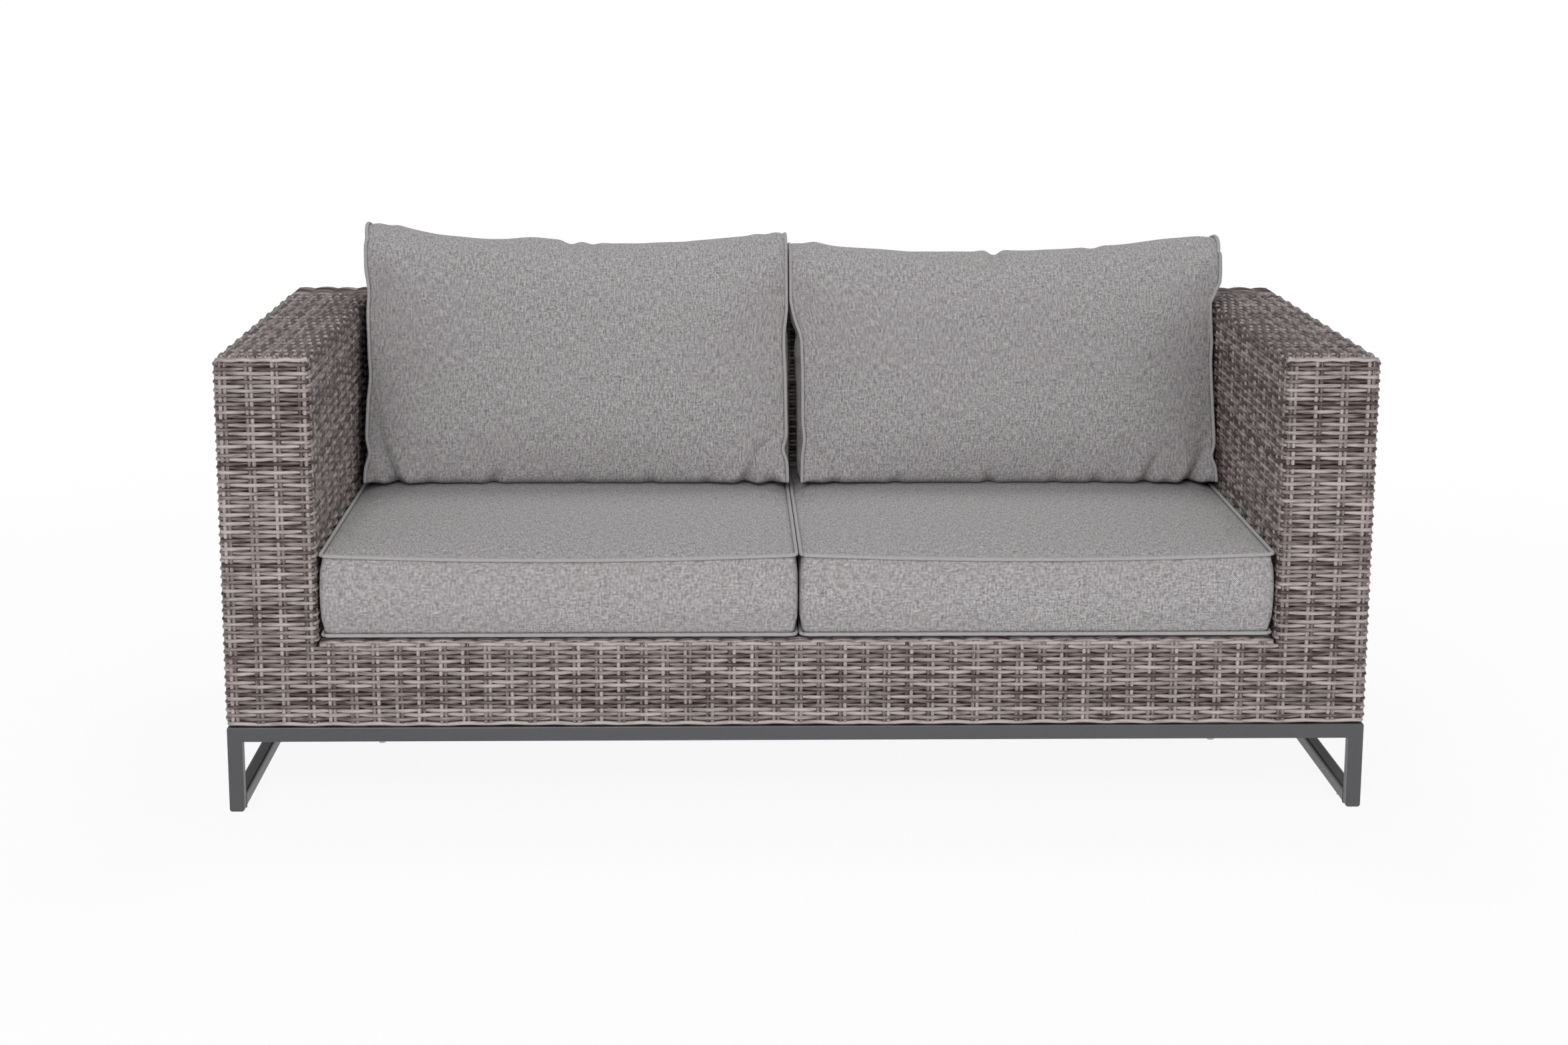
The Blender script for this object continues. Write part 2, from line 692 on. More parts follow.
def weave_arm(weave, hand, side):
    """One arm: rows round its walls, rows along its top, and stakes that go over it."""
    node = f"woven_arm_{hand}"
    seed = 20 + side
    path, stakes = arm_path(side, weave)
    walls = Strands(seed)
    weave.wall(walls, path, stakes, SIDE_STAKES, range(BAND_ROWS, WALL_ROWS))
    weave.build(walls, f"arm_{hand}_wall_wefts", node)

    width = HALF_WIDTH - ARM_INNER
    over = weave.over_edge(width, ARM_TOP, ARM_TOP_ROWS)
    top = Strands(seed + 10)
    length = BACK_FRONT - FRONT_FACE
    runs, out = swings([y - FRONT_FACE for y in side_stakes()], length)
    start = weave.edge + weave.radius / 2
    keep = runs > start
    runs = np.concatenate([[start - weave.radius, start], runs[keep]])
    out = np.concatenate([[0, 0], out[keep]])
    tuck = np.concatenate([[weave.radius * 3, weave.radius / 2], np.zeros(len(out) - 2)])
    for index, (across, up, n_across, n_up) in enumerate(over):
        sign = -1 if (WALL_ROWS + index) % 2 == 0 else 1
        offset = sign * weave.settings.over * out - weave.depth + weave.stand_out(n_across, n_up)
        x = side * (HALF_WIDTH - across - n_across * offset)
        z = up + n_up * offset - tuck
        tone = weave.tones[WALL_ROWS + index] - TOP_SHADE
        top.add(np.column_stack([x, FRONT_FACE + runs, z]), tone)
    weave.build(top, f"arm_{hand}_top_wefts")

    uprights = Strands(seed + 20)
    section = weave.up_wall(0.0, -1.0, range(WALL_ROWS)) + over
    section += weave.up_wall(width, 1.0, reversed(range(BAND_ROWS + 1, WALL_ROWS)))
    for number, y in enumerate(side_stakes()):
        weave.stake_pair(uprights, section, -1 - number, lambda across, up, shift, y=y: (
            side * (HALF_WIDTH - across), y + shift, up))
    over_front = [
        (weave.edge * 0.3, ARM_TOP - weave.edge * 0.3, -0.7, 0.7), (weave.edge * 1.4, ARM_TOP, 0.0, 1.0),
    ]
    front = weave.up_wall(0.0, -1.0, range(WALL_ROWS)) + over_front
    for number, x in enumerate(arm_front_stakes()):
        weave.stake_pair(uprights, front, number, lambda across, up, shift, x=x: (
            side * (HALF_WIDTH - x + shift), FRONT_FACE + across, up))
    weave.build(uprights, f"arm_{hand}_stakes")


def edge_border(weave):
    """The strand that finishes each arm's upper front edge, from corner to corner."""
    borders = Strands(3)
    slope = math.sqrt(0.5)
    inset = weave.edge * (1 - slope) + weave.radius * slope - weave.settings.proud
    for _, side in HANDS:
        path, _ = arm_path(side, weave)
        corner = weave.edge * math.pi / 2
        first = path.length / 2 - (HALF_WIDTH - ARM_INNER) / 2
        runs = np.linspace(first, path.length - first, BORDER_POINTS)
        places, normals = path.at(runs)
        level = np.full(len(runs), ARM_TOP - inset)
        level += BORDER_WAVER * np.sin(np.arange(len(runs)) * 1.1)
        level[[0, -1]] -= corner / 4
        borders.add(np.column_stack([places - normals * inset, level]), BORDER_TONE)
    weave.build(borders, "arm_front_borders")


def weave_front(weave):
    """The lower rows, which run from side to side across arms and apron, and the apron's own rows."""
    corners = [
        (-HALF_WIDTH, BACK_FRONT), (-HALF_WIDTH, FRONT_FACE),
        (HALF_WIDTH, FRONT_FACE), (HALF_WIDTH, BACK_FRONT),
    ]
    path = PlanPath(corners, weave.edge)
    apron = spaced(-ARM_INNER, ARM_INNER, APRON_STAKES)
    left = [(x - HALF_WIDTH, FRONT_FACE) for x in arm_front_stakes()]
    stakes = [(-HALF_WIDTH, y) for y in reversed(side_stakes())] + left
    stakes += [(x, FRONT_FACE) for x in apron]
    stakes += [(-x, y) for x, y in reversed(left)] + [(HALF_WIDTH, y) for y in side_stakes()]
    band = Strands(40)
    weave.wall(band, path, stakes, SIDE_STAKES, range(BAND_ROWS))
    weave.build(band, "front_band_wefts", "woven_apron")

    flange = APRON_HIGH.y - APRON_LOW.y
    over = weave.over_edge(2 * flange, DECK_TOP, 2, angles=(28, 62))
    section = [row for row in over if row[0] < flange / 2]
    pitch = (flange - weave.edge - weave.radius) / FLANGE_ROWS
    section += [(weave.edge + pitch * (i + 1), DECK_TOP, 0.0, 1.0) for i in range(FLANGE_ROWS)]
    sill = Strands(41)
    runs, out = swings([x + ARM_INNER for x in apron], 2 * ARM_INNER)
    for index, (across, up, n_across, n_up) in enumerate(section):
        sign = 1 if (BAND_ROWS + index + ARM_FRONT_STAKES) % 2 == 0 else -1
        offset = sign * weave.settings.over * out - weave.depth + weave.stand_out(n_across, n_up, True)
        y = FRONT_FACE + across + n_across * offset
        tone = SILL_TONE if index == 0 else weave.tones[BAND_ROWS + index]
        sill.add(np.column_stack([runs - ARM_INNER, y, up + n_up * offset]), tone)
    weave.build(sill, "apron_sill_wefts")

    uprights = Strands(42)
    whole = weave.up_wall(0.0, -1.0, range(BAND_ROWS)) + section
    for number, x in enumerate(apron):
        weave.stake_pair(uprights, whole, ARM_FRONT_STAKES + number, lambda across, up, shift, x=x: (
            x + shift, FRONT_FACE + across, up), under_cushion=True)
    weave.build(uprights, "apron_stakes")


def weave_back(weave):
    """The back: rows round its rear, rows along its top, its seat side, and stakes over it."""
    corners = [
        (HALF_WIDTH, BACK_FRONT), (HALF_WIDTH, REAR_FACE),
        (-HALF_WIDTH, REAR_FACE), (-HALF_WIDTH, BACK_FRONT),
    ]
    path = PlanPath(corners, weave.edge)
    rear = spaced(-HALF_WIDTH, HALF_WIDTH, REAR_STAKES)
    sides = spaced(BACK_FRONT, REAR_FACE, BACK_SIDE_STAKES)
    stakes = [(HALF_WIDTH, y) for y in sides] + [(x, REAR_FACE) for x in reversed(rear)]
    stakes += [(-HALF_WIDTH, y) for y in reversed(sides)]
    first = SIDE_STAKES + 1
    for part, rows in (("lower", range(WALL_ROWS // 2)), ("upper", range(WALL_ROWS // 2, WALL_ROWS))):
        walls = Strands(50)
        weave.wall(walls, path, stakes, first, rows)
        weave.build(walls, f"back_{part}_wefts", "woven_back")

    thickness = REAR_FACE - BACK_FRONT
    over = weave.over_edge(thickness, ARM_TOP, BACK_TOP_ROWS)
    first_rear = first + BACK_SIDE_STAKES
    top = Strands(52)
    runs, out = swings([x + HALF_WIDTH for x in rear], 2 * HALF_WIDTH)
    inset = weave.edge * 0.7
    keep = (runs > inset) & (runs < 2 * HALF_WIDTH - inset)
    runs = np.concatenate([[inset - TUCK_STEP], runs[keep], [2 * HALF_WIDTH - inset + TUCK_STEP]])
    out = np.concatenate([[TUCKED], out[keep], [TUCKED]])
    for index, (across, up, n_across, n_up) in enumerate(over):
        sign = 1 if (WALL_ROWS + index + first_rear) % 2 == 0 else -1
        swing = np.where(out == TUCKED, out, sign * out)
        offset = weave.settings.over * swing - weave.depth + weave.stand_out(n_across, n_up)
        y = REAR_FACE - across - n_across * offset
        tone = weave.tones[WALL_ROWS + BACK_TOP_TONES + index] - TOP_SHADE
        if index == len(over) - 1:
            tone = LAST_ROW_TONE
        top.add(np.column_stack([runs - HALF_WIDTH, y, up + n_up * offset]), tone)
    weave.build(top, "back_top_wefts")

    seat_side = Strands(53)
    between = [x for x in rear if abs(x) < ARM_INNER]
    start = ARM_INNER - SEAT_SIDE_GAP
    runs, out = swings([x + start for x in between], 2 * start)
    number = first_rear + rear.index(between[0])
    down = list(reversed(range(BAND_ROWS + 1, WALL_ROWS)))
    for step, row in enumerate(down):
        sign = 1 if (WALL_ROWS + len(over) + step + number) % 2 == 0 else -1
        y = BACK_FRONT - (sign * weave.settings.over * out - weave.depth)
        level = np.full(len(runs), weave.levels[row])
        seat_side.add(np.column_stack([runs - start, y, level]), weave.tones[row])
    weave.build(seat_side, "back_seat_side_wefts")

    uprights = Strands(54)
    outer = weave.up_wall(0.0, -1.0, range(WALL_ROWS)) + over
    inner = weave.up_wall(thickness, 1.0, down)
    for number, x in enumerate(rear):
        section = outer + inner if abs(x) < ARM_INNER else outer
        weave.stake_pair(uprights, section, first_rear + number, lambda across, up, shift, x=x: (
            x + shift, REAR_FACE - across, up))
    weave.build(uprights, "back_stakes")
    ends = Strands(55)
    for number, y in enumerate(sides):
        for _, side in HANDS:
            weave.stake_pair(ends, outer[:WALL_ROWS + 1], first + number, lambda across, up, shift, y=y: (
                side * (HALF_WIDTH - across), y + shift, up))
    weave.build(ends, "back_end_stakes")


def weave_deck(weave):
    """An open lattice of strands across the frame, woven over and under."""
    low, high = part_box("woven_deck")
    middle = (low.z + high.z) / 2
    radius = (high.z - low.z) * 0.3
    swing = (high.z - low.z) / 2 - radius
    counts = [round((high[axis] - low[axis]) / DECK_PITCH) for axis in (0, 1)]
    places = [spaced(low[axis] + radius, high[axis] - radius, counts[axis]) for axis in (0, 1)]
    lattice = Strands(80)
    for way in (0, 1):
        for number, place in enumerate(places[way]):
            runs, out = swings([p - low[1 - way] for p in places[1 - way]], high[1 - way] - low[1 - way])
            sign = 1 if (number + way) % 2 == 0 else -1
            points = np.empty((len(runs), 3))
            points[:, way] = place
            points[:, 1 - way] = runs + low[1 - way]
            points[:, 2] = middle + sign * swing * out
            lattice.add(points, DECK_TONES[number % 3 == 0])
    piece = lattice.build("deck_lattice", radius, weave.finish, "sofa", "woven_strand")
    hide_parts("woven_deck")


# Cushions

# A share of a form's half size from which a place counts as lying on its edge, and on its rear
ON_EDGE = 0.9999
ON_REAR = -0.99
# The share of the half height where the ends begin to flare, and over which they do so
FLARE_FROM = 0.0
FLARE_REACH = 0.85
# Frames over which the cloth swells, and how often it is then rounded at head and foot
CLOTH_FRAMES = 20
SOFTENING = 12
# What is rounded, in shares of half sizes: from how far up or down on, out to where, how far to
# the rear, and at the very foot only from how far to the front on
WRAP_FROM = 0.76
WRAP_TO = 0.985
WRAP_REAR = -0.9
WRAP_FOOT = 0.6
# A cover isn't held between its neighbours up to this depth behind the arms' front
CORNER_DEPTH = 0.005
# How the piping lies: out of its seam, and the share of a back cushion's height where it begins
PIPING_OUT = 0.0022
PIPING_FOOT = -0.98


def bell(offset):
    """A smooth hump, 1 at its middle and near 0 from 2 on."""
    return math.exp(-offset ** 2)


class CushionForm:
    """A stuffed cover's form: two faces, a band between their seams, and how they swell and settle.

    Its own X runs along the cushion, Y up or to the rear, and Z out of its main face.
    """

    def __init__(self, node, half_x, half_y, band, **values):
        self.node = node
        self.half_x = half_x
        self.half_y = half_y
        self.band = band
        self.corner = values["corner"]
        self.crown = values["crown"]
        self.rear_crown = values["rear_crown"]
        self.bulge = values["bulge"]
        self.wrap = values.get("wrap", self.bulge)
        self.foot_wrap = values.get("foot_wrap", self.bulge)
        self.waist = values.get("waist", 0.0)
        self.flare = values.get("flare", (0.0, 0.0))
        self.dip = values.get("dip", 0.0)
        self.slump = values.get("slump", 0.0)
        self.heel = values.get("heel", 0.0)
        self.lean = values.get("lean", 0.0)
        self.sink = values.get("sink", (0.0, 0.0))
        self.crest = values.get("crest", ())
        self.tucks = values.get("tucks", ())
        self.origin = values["origin"]
        self.upright = values["upright"]

    def rounded(self, u, v):
        """A place in the rounded outline for shares of its half sizes, and the way out there."""
        x = u * self.half_x
        y = v * self.half_y
        r = self.corner
        dx = abs(x) - (self.half_x - r)
        dy = abs(y) - (self.half_y - r)
        if dx > 0 and dy > 0:
            bent_x = dx * math.sqrt(1 - (dy / r) ** 2 / 2)
            bent_y = dy * math.sqrt(1 - (dx / r) ** 2 / 2)
            out = Vector((math.copysign(bent_x, x), math.copysign(bent_y, y)))
            x = math.copysign(self.half_x - r + bent_x, x)
            y = math.copysign(self.half_y - r + bent_y, y)
            return x, y, out.normalized()
        if dx * self.half_y > dy * self.half_x or dx > dy:
            return x, y, Vector((math.copysign(1, x), 0))
        return x, y, Vector((0, math.copysign(1, y)))

    def point(self, u, v, w, stand_out=0.0):
        """A point of the form for shares from -1 to 1 along, up and out of the face."""
        x, y, out = self.rounded(u, v)
        on_band = abs(u) > ON_EDGE or abs(v) > ON_EDGE
        z = w * self.band / 2
        if on_band:
            wrap = self.wrap if out.y > 0 else self.foot_wrap
            swell = math.cos(math.pi * w / 2) ** 0.8
            x += math.copysign(min(1, 1.3 * abs(out.x)), out.x) * (self.bulge * swell + stand_out)
            y += math.copysign(min(1, 1.3 * abs(out.y)), out.y) * (wrap * swell + stand_out)
            z += w * stand_out
        rise = self.crown if w > 0 else -self.rear_crown
        if abs(w) > ON_EDGE:
            z += rise * (1 - abs(u) ** (2.4 if self.upright else 3)) * (1 - abs(v) ** 3)
        return self.settled(x, y, z)

    def settled(self, x, y, z):
        """Where a point of the plain form comes to lie once the cushion has settled."""
        across = min(abs(x / self.half_x), 1)
        along = min(abs(y / self.half_y), 1)
        upper = max(y / self.half_y, 0)
        lower = (1 - math.copysign(along, y)) / 2
        ahead = max(z / self.band + 0.5, 0)
        end = x / self.half_x
        sunk = (self.sink[0] + self.sink[1] * end) * (1 - lower)
        height = y - self.dip * (1 - across ** 2) * upper - sunk
        height += sum(rise * bell((end - u) / width) for u, width, rise in self.crest) * upper ** 6
        drawn = sum(depth * bell((y / self.half_y - v) / width)
                    for side, v, width, depth in self.tucks if side * end > 0)
        x -= self.waist * (1 - along ** 2) * end + math.copysign(drawn * across ** 6, x)
        opened = min(max((y / self.half_y - FLARE_FROM) / FLARE_REACH, 0), 1)
        x += self.flare[int(end > 0)] * end * across * opened ** 2 * (3 - 2 * opened)
        z += self.heel * lower * ahead - height * math.tan(self.lean)
        z -= self.slump * (1 - across ** 2) * max(-y / self.half_y, 0) ** 3 * ahead
        if self.upright:
            return self.origin + Vector((x, -z, height))
        return self.origin + Vector((x, height, z))


def grid_block(cuts):
    """A block from -1 to 1 whose edges along each axis are cut into a grid."""
    block = bmesh.new()
    bmesh.ops.create_cube(block, size=2)
    for axis, count in enumerate(cuts):
        edges = [e for e in block.edges if abs(e.verts[0].co[axis] - e.verts[1].co[axis]) > 1]
        bmesh.ops.subdivide_edges(block, edges=edges, cuts=count, use_grid_fill=True)
    return block


def chart_cloth(block, form):
    """A flat chart in metres for each side of the block, so that the cloth's threads follow it."""
    chart = block.loops.layers.uv.new("cloth")
    sizes = (form.half_x, form.half_y, form.band / 2)
    for face in block.faces:
        normal = [abs(c) for c in face.normal]
        axis = normal.index(max(normal))
        across, up = [i for i in range(3) if i != axis]
        if axis == 0:
            across, up = up, across
        for loop in face.loops:
            co = loop.vert.co
            loop[chart].uv = (co[across] * sizes[across] + axis, co[up] * sizes[up])


def crease_seams(block, axis):
    """Creases the seams round the two faces across an axis, and returns their vertices."""
    others = [i for i in range(3) if i != axis]

    def on_seam(co):
        return abs(co[axis]) > ON_EDGE and max(abs(co[i]) for i in others) > ON_EDGE

    creases = block.edges.layers.float.new("crease_edge")
    seams = set()
    for edge in block.edges:
        if all(on_seam(v.co) for v in edge.verts):
            edge[creases] = 1.0
            seams.update(v.index for v in edge.verts)
    return seams


def inflate(piece, pinned, cap, pressure):
    """Lets the cloth swell between its seams, and keeps each point within a cap of its start."""
    group = piece.vertex_groups.new(name="seams")
    group.add(sorted(pinned), 1.0, "REPLACE")
    cloth = piece.modifiers.new("Cloth", "CLOTH")
    settings = cloth.settings
    settings.quality = 5
    settings.mass = 0.25
    settings.tension_stiffness = 18
    settings.compression_stiffness = 12
    settings.shear_stiffness = 6
    settings.bending_stiffness = 1.2
    settings.use_pressure = True
    settings.uniform_pressure_force = pressure
    settings.shrink_min = -0.015
    settings.vertex_group_mass = group.name
    settings.effector_weights.gravity = 0
    cloth.point_cache.frame_start = 1
    cloth.point_cache.frame_end = CLOTH_FRAMES
    scene = bpy.context.scene
    for number in range(1, CLOTH_FRAMES + 1):
        scene.frame_set(number)
    depsgraph = bpy.context.evaluated_depsgraph_get()
    swollen = np.array([v.co for v in piece.evaluated_get(depsgraph).data.vertices])
    start = np.array([v.co for v in piece.data.vertices])
    piece.modifiers.remove(cloth)
    scene.frame_set(1)
    moves = swollen - start
    lengths = np.linalg.norm(moves, axis=1)
    moves *= np.minimum(1, cap / np.maximum(lengths, 1e-9))[:, None]
    piece.data.vertices.foreach_set("co", (start + moves).astype(np.float32).ravel())
    piece.vertex_groups.clear()


def sink_zip_channel(mesh, node):
    """Draws the cloth in behind the zip and its slider, over the slider's whole run."""
    zip_low, zip_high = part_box(f"{node}_zip")
    low = Vector((zip_low.x, 0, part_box(f"{node}_zip_slider")[0].z))
    for vertex in mesh.vertices:
        if vertex.normal.y < 0.5:
            continue
        x, _, z = vertex.co
        beyond = max(low.x - x, x - zip_high.x, low.z - z, z - zip_high.z, 0)
        vertex.co.y -= ZIP_CHANNEL_DEPTH * max(1 - beyond / ZIP_CHANNEL_SLOPE, 0)


def soften(mesh, shares):
    """Rounds the cloth where it wraps over a back cushion's head and foot, between its ends."""
    cloth = bmesh.new()
    cloth.from_mesh(mesh)
    wrapped = [v for v, share in zip(cloth.verts, shares)
               if abs(share.y) > WRAP_FROM and abs(share.x) < WRAP_TO and share.z > WRAP_REAR
               and not (share.y < -ON_EDGE and share.z < WRAP_FOOT)]
    for _ in range(SOFTENING):
        bmesh.ops.smooth_vert(
            cloth, verts=wrapped, factor=0.5, use_axis_x=True, use_axis_y=True, use_axis_z=True)
    cloth.to_mesh(mesh)
    cloth.free()


def within(room, x, z, margin=0.0):
    """Holds a place between neighbours, each as (limit low down, limit higher up, from, to)."""
    limits = [limit + (upper - limit) * min(max((z - start) / (end - start), 0), 1)
              for limit, upper, start, end in room]
    return min(max(x, limits[0] + margin), limits[1] - margin)


def keep_room(mesh, room):
    """Holds a cover between its neighbours, apart from what swells out in front of an arm."""
    for vertex in mesh.vertices:
        x, y, z = vertex.co
        if y > FRONT_FACE + CORNER_DEPTH or abs(x) < ARM_INNER / 2:
            vertex.co.x = within(room, x, z)


def build_cover(form, swelling, puckers, finish, room):
    """A cover: its form cut as a grid, swollen as cloth, drawn in at its puckers and subdivided."""
    cuts, cap, pressure = swelling
    block = grid_block(cuts)
    block.normal_update()
    chart_cloth(block, form)
    pinned = crease_seams(block, 0 if form.upright else 2)
    shares = [v.co.copy() for v in block.verts]
    pinned.update(index for index, share in enumerate(shares)
                  if share.z < ON_REAR or form.upright and share.y < -ON_EDGE)
    for vertex, share in zip(block.verts, shares):
        vertex.co = form.point(*share)
    bmesh.ops.recalc_face_normals(block, faces=block.faces)
    mesh = bpy.data.meshes.new(f"{form.node}_cloth")
    block.to_mesh(mesh)
    block.free()
    mesh.shade_smooth()
    mesh.materials.append(finish)
    piece = add_piece(f"{form.node}_cloth", mesh, form.node)
    inflate(piece, pinned, cap, pressure)
    if form.upright:
        soften(mesh, shares)
    draw_in(mesh, shares, puckers)
    sink_zip_channel(mesh, form.node)
    keep_room(mesh, room)
    subdivision = piece.modifiers.new("Subdivision", "SUBSURF")
    subdivision.levels = 1
    subdivision.render_levels = 1
    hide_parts(f"{form.node}_cover", f"{form.node}_core")
    return piece


def draw_in(mesh, shares, puckers):
    """Small folds that run in from the edge where the cloth is gathered.

    A pucker is (share along, edge, reach, width, depth, slant) in shares and metres.
    """
    rearwards = Vector((0, 1, 0))
    for vertex, share in zip(mesh.vertices, shares):
        move = Vector((0, 0, 0))
        for along, edge, reach, width, most, slant in puckers:
            from_edge = abs(edge - share.y)
            if share.z < ON_REAR or from_edge > reach:
                continue
            aside = (share.x - along - slant * from_edge) / width
            fade = (1 - from_edge / reach) ** 1.5
            depth = most * fade * (bell(aside) - 0.35 * bell(abs(aside) - 1.8))
            move += depth * (rearwards if edge < 0 else -vertex.normal)
        vertex.co += move


def seam_loop(form, w):
    """Points of the piping round a whole seam."""
    shares = np.linspace(-1, 1, 150, endpoint=False)
    loop = [(s, -1) for s in shares] + [(1, s) for s in shares]
    loop += [(-s, 1) for s in shares] + [(-1, -s) for s in shares]
    points = [form.point(u, v, w, PIPING_OUT) for u, v in loop]
    return points + points[:1]


def seam_over(form, u, room, radius):
    """Points of the piping at one end: up the front, over the head and down the rear."""
    shares = np.linspace(PIPING_FOOT, 1, 110)
    line = [form.point(u, v, 1, PIPING_OUT) for v in shares]
    line += [form.point(u, 1, w, PIPING_OUT) for w in np.linspace(1, -1, 20)[1:-1]]
    line += [form.point(u, v, -1, PIPING_OUT) for v in reversed(shares)]
    return [Vector((within(room, x, z, radius), y, z)) for x, y, z in line]


def build_piping(form, lines, cushion, finish):
    """Piping along lines, which rides on the form's own body."""
    cords = Strands(70)
    for line in lines:
        cords.add([tuple(point) for point in line], 0.5)
    name = f"{form.node}_piping"
    cords.build(name, cushion.piping, finish, form.node, "cushion_cloth", sides=PIPING_SIDES)


# Cuts of a cover's grid along each axis, the most that a point may swell, and the pressure
SEAT_SWELLING = ((71, 73, 11), 0.006, 1.2)
BACK_SWELLING = ((95, 51, 11), 0.022, 4.0)

# The forms start slacker than the solids in these shares, because swelling adds to them
SEAT_CROWN_SHARE = 0.75
CROWN_SHARE = 0.9
BULGE_SHARE = 0.8

SEAM_CORNER = 0.010
SEAT_BULGE = 0.008
SEAT_CROWN = 0.011
SEAT_SAG = 0.008
SEAT_SLUMP = 0.007
SEAT_MARGIN = 0.0005


def seat_form(hand):
    """The form of a seat cushion, worked out from its cover's box."""
    low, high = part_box(f"seat_cushion_{hand}_cover")
    half = (high - low) / 2
    foot = low.z + SEAT_SAG
    return CushionForm(
        f"seat_cushion_{hand}", half.x - SEAT_BULGE / 2, half.y - SEAT_BULGE,
        high.z - low.z - SEAT_CROWN - SEAT_SAG, corner=SEAM_CORNER,
        crown=SEAT_CROWN * SEAT_CROWN_SHARE, rear_crown=SEAT_SAG * CROWN_SHARE,
        bulge=SEAT_BULGE * BULGE_SHARE, foot_wrap=SEAT_BULGE * 1.4, slump=SEAT_SLUMP,
        origin=Vector(((low.x + high.x) / 2, (low.y + high.y) / 2, (foot + high.z - SEAT_CROWN) / 2)),
        upright=False)


BACK_BULGE = 0.009
BACK_WRAP = 0.024
BACK_FOOT_WRAP = 0.006
BACK_BAND = 0.126
BACK_CROWN = 0.040
BACK_REAR_CROWN = 0.003
BACK_HEIGHT = 0.405
BACK_WAIST = 0.003
BACK_HEEL = 0.046
BACK_REAR_GAP = 0.002
BACK_LEAN = math.radians(16)
BACK_SEAMS = {"left": (-0.6940, -0.0058), "right": (0.0215, 0.7018)}

# How far each back cushion may reach to either side, each as (limit low down, limit higher up,
# and the heights between which it goes from one to the other)
BESIDE_ARM = ARM_INNER - 0.0012
OVER_ARM = (ARM_TOP + 0.003, ARM_TOP + 0.058)
BACK_ROOM = {
    "left": ((-BESIDE_ARM, -0.7150, *OVER_ARM), (-0.0008, -0.0008, *OVER_ARM)),
    "right": ((0.0140, 0.0008, ARM_TOP - 0.140, ARM_TOP - 0.010), (BESIDE_ARM, 0.7350, *OVER_ARM)),
}


def back_form(hand):
    """The form of a back cushion, which stands on its cover's foot and leans on the back."""
    low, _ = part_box(f"back_cushion_{hand}_cover")
    half_y = (BACK_HEIGHT - BACK_WRAP - BACK_FOOT_WRAP) / 2
    middle = low.z + BACK_FOOT_WRAP + half_y
    rear = BACK_FRONT - BACK_REAR_GAP + (middle - ARM_TOP) * math.tan(BACK_LEAN)
    y = rear - BACK_BAND / 2 - BACK_REAR_CROWN
    first, last = BACK_SEAMS[hand]
    return CushionForm(
        f"back_cushion_{hand}", (last - first) / 2, half_y, BACK_BAND, corner=SEAM_CORNER,
        crown=BACK_CROWN * CROWN_SHARE, rear_crown=BACK_REAR_CROWN,
        bulge=BACK_BULGE * BULGE_SHARE, wrap=BACK_WRAP * BULGE_SHARE,
        foot_wrap=BACK_FOOT_WRAP * 0.6, waist=BACK_WAIST, heel=BACK_HEEL, lean=BACK_LEAN,
        origin=Vector(((first + last) / 2, y, middle)), upright=True, **BACK_SETTLING[hand])


# How each back cushion has settled. dip is how far the middle of its upper edge sinks; sink is
# (all over, more towards its right), in metres at its top; flare is how far its left and its right
# end lean outwards; crest is rises along its upper edge as (share along, width, rise); tucks are
# where the piping is drawn in, as (side, share up, width, depth).
BACK_SETTLING = {
    "left": {
        "dip": 0.0135, "sink": (-0.002, 0.005), "flare": (0.007, 0.005),
        "crest": (
            (-0.22, 0.16, 0.004), (-0.02, 0.03, -0.002), (0.92, 0.07, 0.002), (-0.96, 0.14, 0.005),
        ),
        "tucks": (
            (-1, 0.60, 0.14, 0.004), (-1, -0.12, 0.14, 0.003), (-1, -0.74, 0.08, 0.006),
            (1, 0.25, 0.2, 0.003), (1, -0.70, 0.07, 0.006),
        ),
    },
    "right": {
        "dip": 0.011, "sink": (0.013, -0.007), "flare": (0.021, 0.020),
        "crest": (
            (-0.90, 0.08, 0.003), (-0.02, 0.03, -0.002), (0.75, 0.12, 0.001),
        ),
        "tucks": (
            (-1, 0.30, 0.12, 0.004), (-1, -0.60, 0.10, 0.003),
            (1, 0.60, 0.10, 0.003), (1, -0.76, 0.07, 0.006),
        ),
    },
}

BACK_PUCKERS = {
    "left": [
        (-0.05, 1, 0.16, 0.030, 0.004, 0.1), (0.06, 1, 0.14, 0.028, 0.003, -0.1),
        (-0.40, -1, 0.20, 0.028, 0.016, 0.2), (0.02, -1, 0.10, 0.028, 0.007, 0.0),
        (0.35, -1, 0.14, 0.028, 0.010, -0.1), (0.62, -1, 0.20, 0.028, 0.007, 0.2),
        (0.80, -1, 0.42, 0.030, 0.021, 0.3), (0.93, -1, 0.30, 0.028, 0.015, -0.1),
        (-0.86, -1, 0.34, 0.030, 0.026, -0.25), (-0.70, -1, 0.16, 0.028, 0.007, 0.1),
        (0.90, 1, 0.22, 0.028, 0.003, -0.2), (-0.92, 1, 0.20, 0.028, 0.003, 0.2),
    ],
    "right": [
        (-0.03, 1, 0.20, 0.028, 0.007, 0.0), (0.45, 1, 0.12, 0.030, 0.003, 0.0),
        (-0.85, -1, 0.30, 0.028, 0.010, -0.2), (-0.55, -1, 0.12, 0.028, 0.009, 0.1),
        (-0.10, -1, 0.18, 0.028, 0.016, 0.0), (0.22, -1, 0.30, 0.028, 0.009, 0.1),
        (0.42, -1, 0.14, 0.028, 0.011, -0.1), (0.66, -1, 0.40, 0.030, 0.018, 0.22),
        (0.88, -1, 0.36, 0.032, 0.030, 0.3), (-0.93, 1, 0.20, 0.028, 0.003, 0.2),
    ],
}


# Operators

